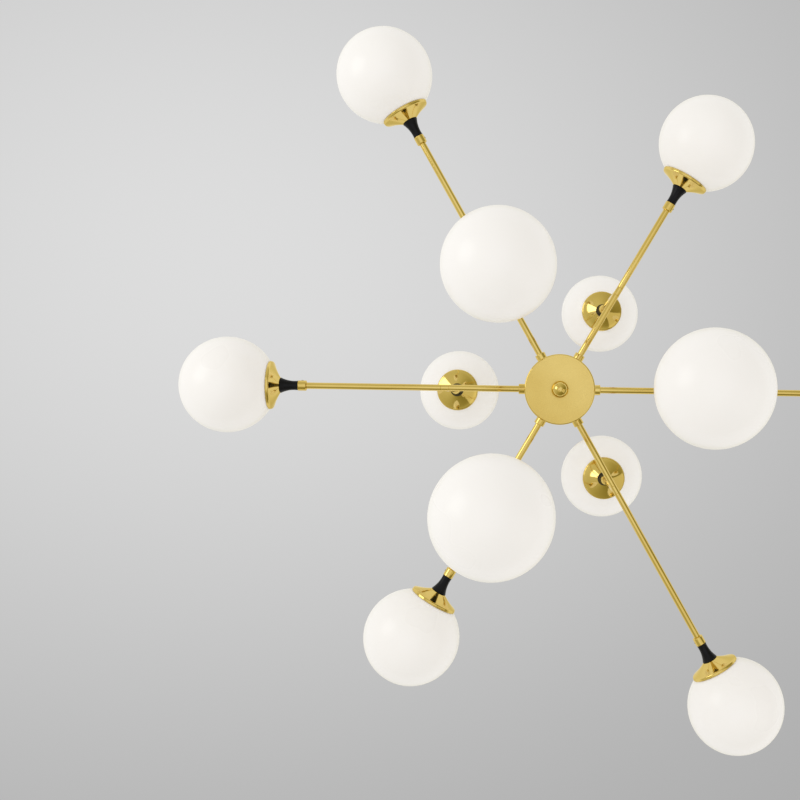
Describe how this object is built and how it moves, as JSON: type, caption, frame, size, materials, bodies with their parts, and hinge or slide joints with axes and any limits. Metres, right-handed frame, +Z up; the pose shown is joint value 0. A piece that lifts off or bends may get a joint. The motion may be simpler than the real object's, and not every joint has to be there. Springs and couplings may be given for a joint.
{
  "type": "pendant light",
  "caption": "Pendant light with opal glass globes on straight brass tubes that branch out, up and down from a round hub, hung from a ceiling canopy by a rod on a swivel.",
  "frame": {"origin": "middle of the canopy's rim and of the two ceiling screw holes, on the ceiling", "axes": "+Z up into the ceiling, +X along the first arm and along the line of the screw holes"},
  "size_m": [1.1914, 1.1316, 1.3207],
  "materials": {
    "polished_brass": "polished",
    "satin_brass": "satin",
    "black_enamel": "satin",
    "opal_glass": "satin",
    "white_porcelain": "matt",
    "frosted_bulb": "frosted",
    "zinc_steel": "zinc plated",
    "cream_plastic": "moulded"
  },
  "bodies": {
    "ceiling_mount": {"mounting_bracket": "zinc_steel", "ceiling_canopy": "satin_brass", "hanger_stud": "zinc_steel", "swivel_top_yoke": "satin_brass"},
    "swivel": {"swivel_link": "satin_brass", "swivel_pins": "zinc_steel"},
    "fixture": {"inner_arms": "satin_brass", "tee_fittings": "satin_brass", "hub_collars": "polished_brass", "hub_nuts": "zinc_steel", "head_collars": "polished_brass", "grub_screws": "zinc_steel", "neck_sleeves": "black_enamel", "head_nipples": "zinc_steel", "lampholders": "white_porcelain", "bulbs": "frosted_bulb", "hub_shell": "satin_brass", "hub_cover": "satin_brass", "finial": "polished_brass", "centre_stud": "zinc_steel", "terminal_block": "cream_plastic", "rod_coupler": "satin_brass", "drop_rod": "satin_brass", "swivel_low_yoke": "satin_brass", "saucer_arm_1": "polished_brass", "saucer_arm_2": "polished_brass", "saucer_arm_3": "polished_brass", "saucer_arm_4": "polished_brass", "saucer_arm_5": "polished_brass", "saucer_arm_6": "polished_brass", "saucer_stem_1": "polished_brass", "saucer_stem_2": "polished_brass", "saucer_stem_3": "polished_brass", "saucer_stem_4": "polished_brass", "saucer_stem_5": "polished_brass", "saucer_stem_6": "polished_brass", "outer_arm_1": "satin_brass", "stem_1": "satin_brass", "outer_arm_2": "satin_brass", "stem_2": "satin_brass", "outer_arm_3": "satin_brass", "stem_3": "satin_brass", "outer_arm_4": "satin_brass", "stem_4": "satin_brass", "outer_arm_5": "satin_brass", "stem_5": "satin_brass", "outer_arm_6": "satin_brass", "stem_6": "satin_brass"},
    "globe_arm_1": {"globe_arm_1": "opal_glass"},
    "globe_arm_2": {"globe_arm_2": "opal_glass"},
    "globe_arm_3": {"globe_arm_3": "opal_glass"},
    "globe_arm_4": {"globe_arm_4": "opal_glass"},
    "globe_arm_5": {"globe_arm_5": "opal_glass"},
    "globe_arm_6": {"globe_arm_6": "opal_glass"},
    "globe_stem_1": {"globe_stem_1": "opal_glass"},
    "globe_stem_2": {"globe_stem_2": "opal_glass"},
    "globe_stem_3": {"globe_stem_3": "opal_glass"},
    "globe_stem_4": {"globe_stem_4": "opal_glass"},
    "globe_stem_5": {"globe_stem_5": "opal_glass"},
    "globe_stem_6": {"globe_stem_6": "opal_glass"}
  },
  "joints": [
    {"name": "swing_about_x", "type": "hinge", "parent": "ceiling_mount", "child": "swivel", "pos_m": [0, 0, -0.057], "axis": [1, 0, 0], "range_deg": [-30, 30]},
    {"name": "swing_about_y", "type": "hinge", "parent": "swivel", "child": "fixture", "pos_m": [0, 0, -0.077], "axis": [0, 1, 0], "range_deg": [-30, 30]},
    {"name": "draw_off_globe_arm_1", "type": "slide", "parent": "fixture", "child": "globe_arm_1", "axis": [1, 0, 0], "range_m": [0, 0.088]},
    {"name": "draw_off_globe_arm_2", "type": "slide", "parent": "fixture", "child": "globe_arm_2", "axis": [0.5, 0.866, 0], "range_m": [0, 0.088]},
    {"name": "draw_off_globe_arm_3", "type": "slide", "parent": "fixture", "child": "globe_arm_3", "axis": [-0.5, 0.866, 0], "range_m": [0, 0.088]},
    {"name": "draw_off_globe_arm_4", "type": "slide", "parent": "fixture", "child": "globe_arm_4", "axis": [-1, 0, 0], "range_m": [0, 0.088]},
    {"name": "draw_off_globe_arm_5", "type": "slide", "parent": "fixture", "child": "globe_arm_5", "axis": [-0.5, -0.866, 0], "range_m": [0, 0.088]},
    {"name": "draw_off_globe_arm_6", "type": "slide", "parent": "fixture", "child": "globe_arm_6", "axis": [0.5, -0.866, 0], "range_m": [0, 0.088]},
    {"name": "draw_off_globe_stem_1", "type": "slide", "parent": "fixture", "child": "globe_stem_1", "axis": [0, 0, -1], "range_m": [0, 0.088]},
    {"name": "draw_off_globe_stem_2", "type": "slide", "parent": "fixture", "child": "globe_stem_2", "axis": [0, 0, 1], "range_m": [0, 0.088]},
    {"name": "draw_off_globe_stem_3", "type": "slide", "parent": "fixture", "child": "globe_stem_3", "axis": [0, 0, -1], "range_m": [0, 0.088]},
    {"name": "draw_off_globe_stem_4", "type": "slide", "parent": "fixture", "child": "globe_stem_4", "axis": [0, 0, 1], "range_m": [0, 0.088]},
    {"name": "draw_off_globe_stem_5", "type": "slide", "parent": "fixture", "child": "globe_stem_5", "axis": [0, 0, -1], "range_m": [0, 0.088]},
    {"name": "draw_off_globe_stem_6", "type": "slide", "parent": "fixture", "child": "globe_stem_6", "axis": [0, 0, 1], "range_m": [0, 0.088]}
  ]
}
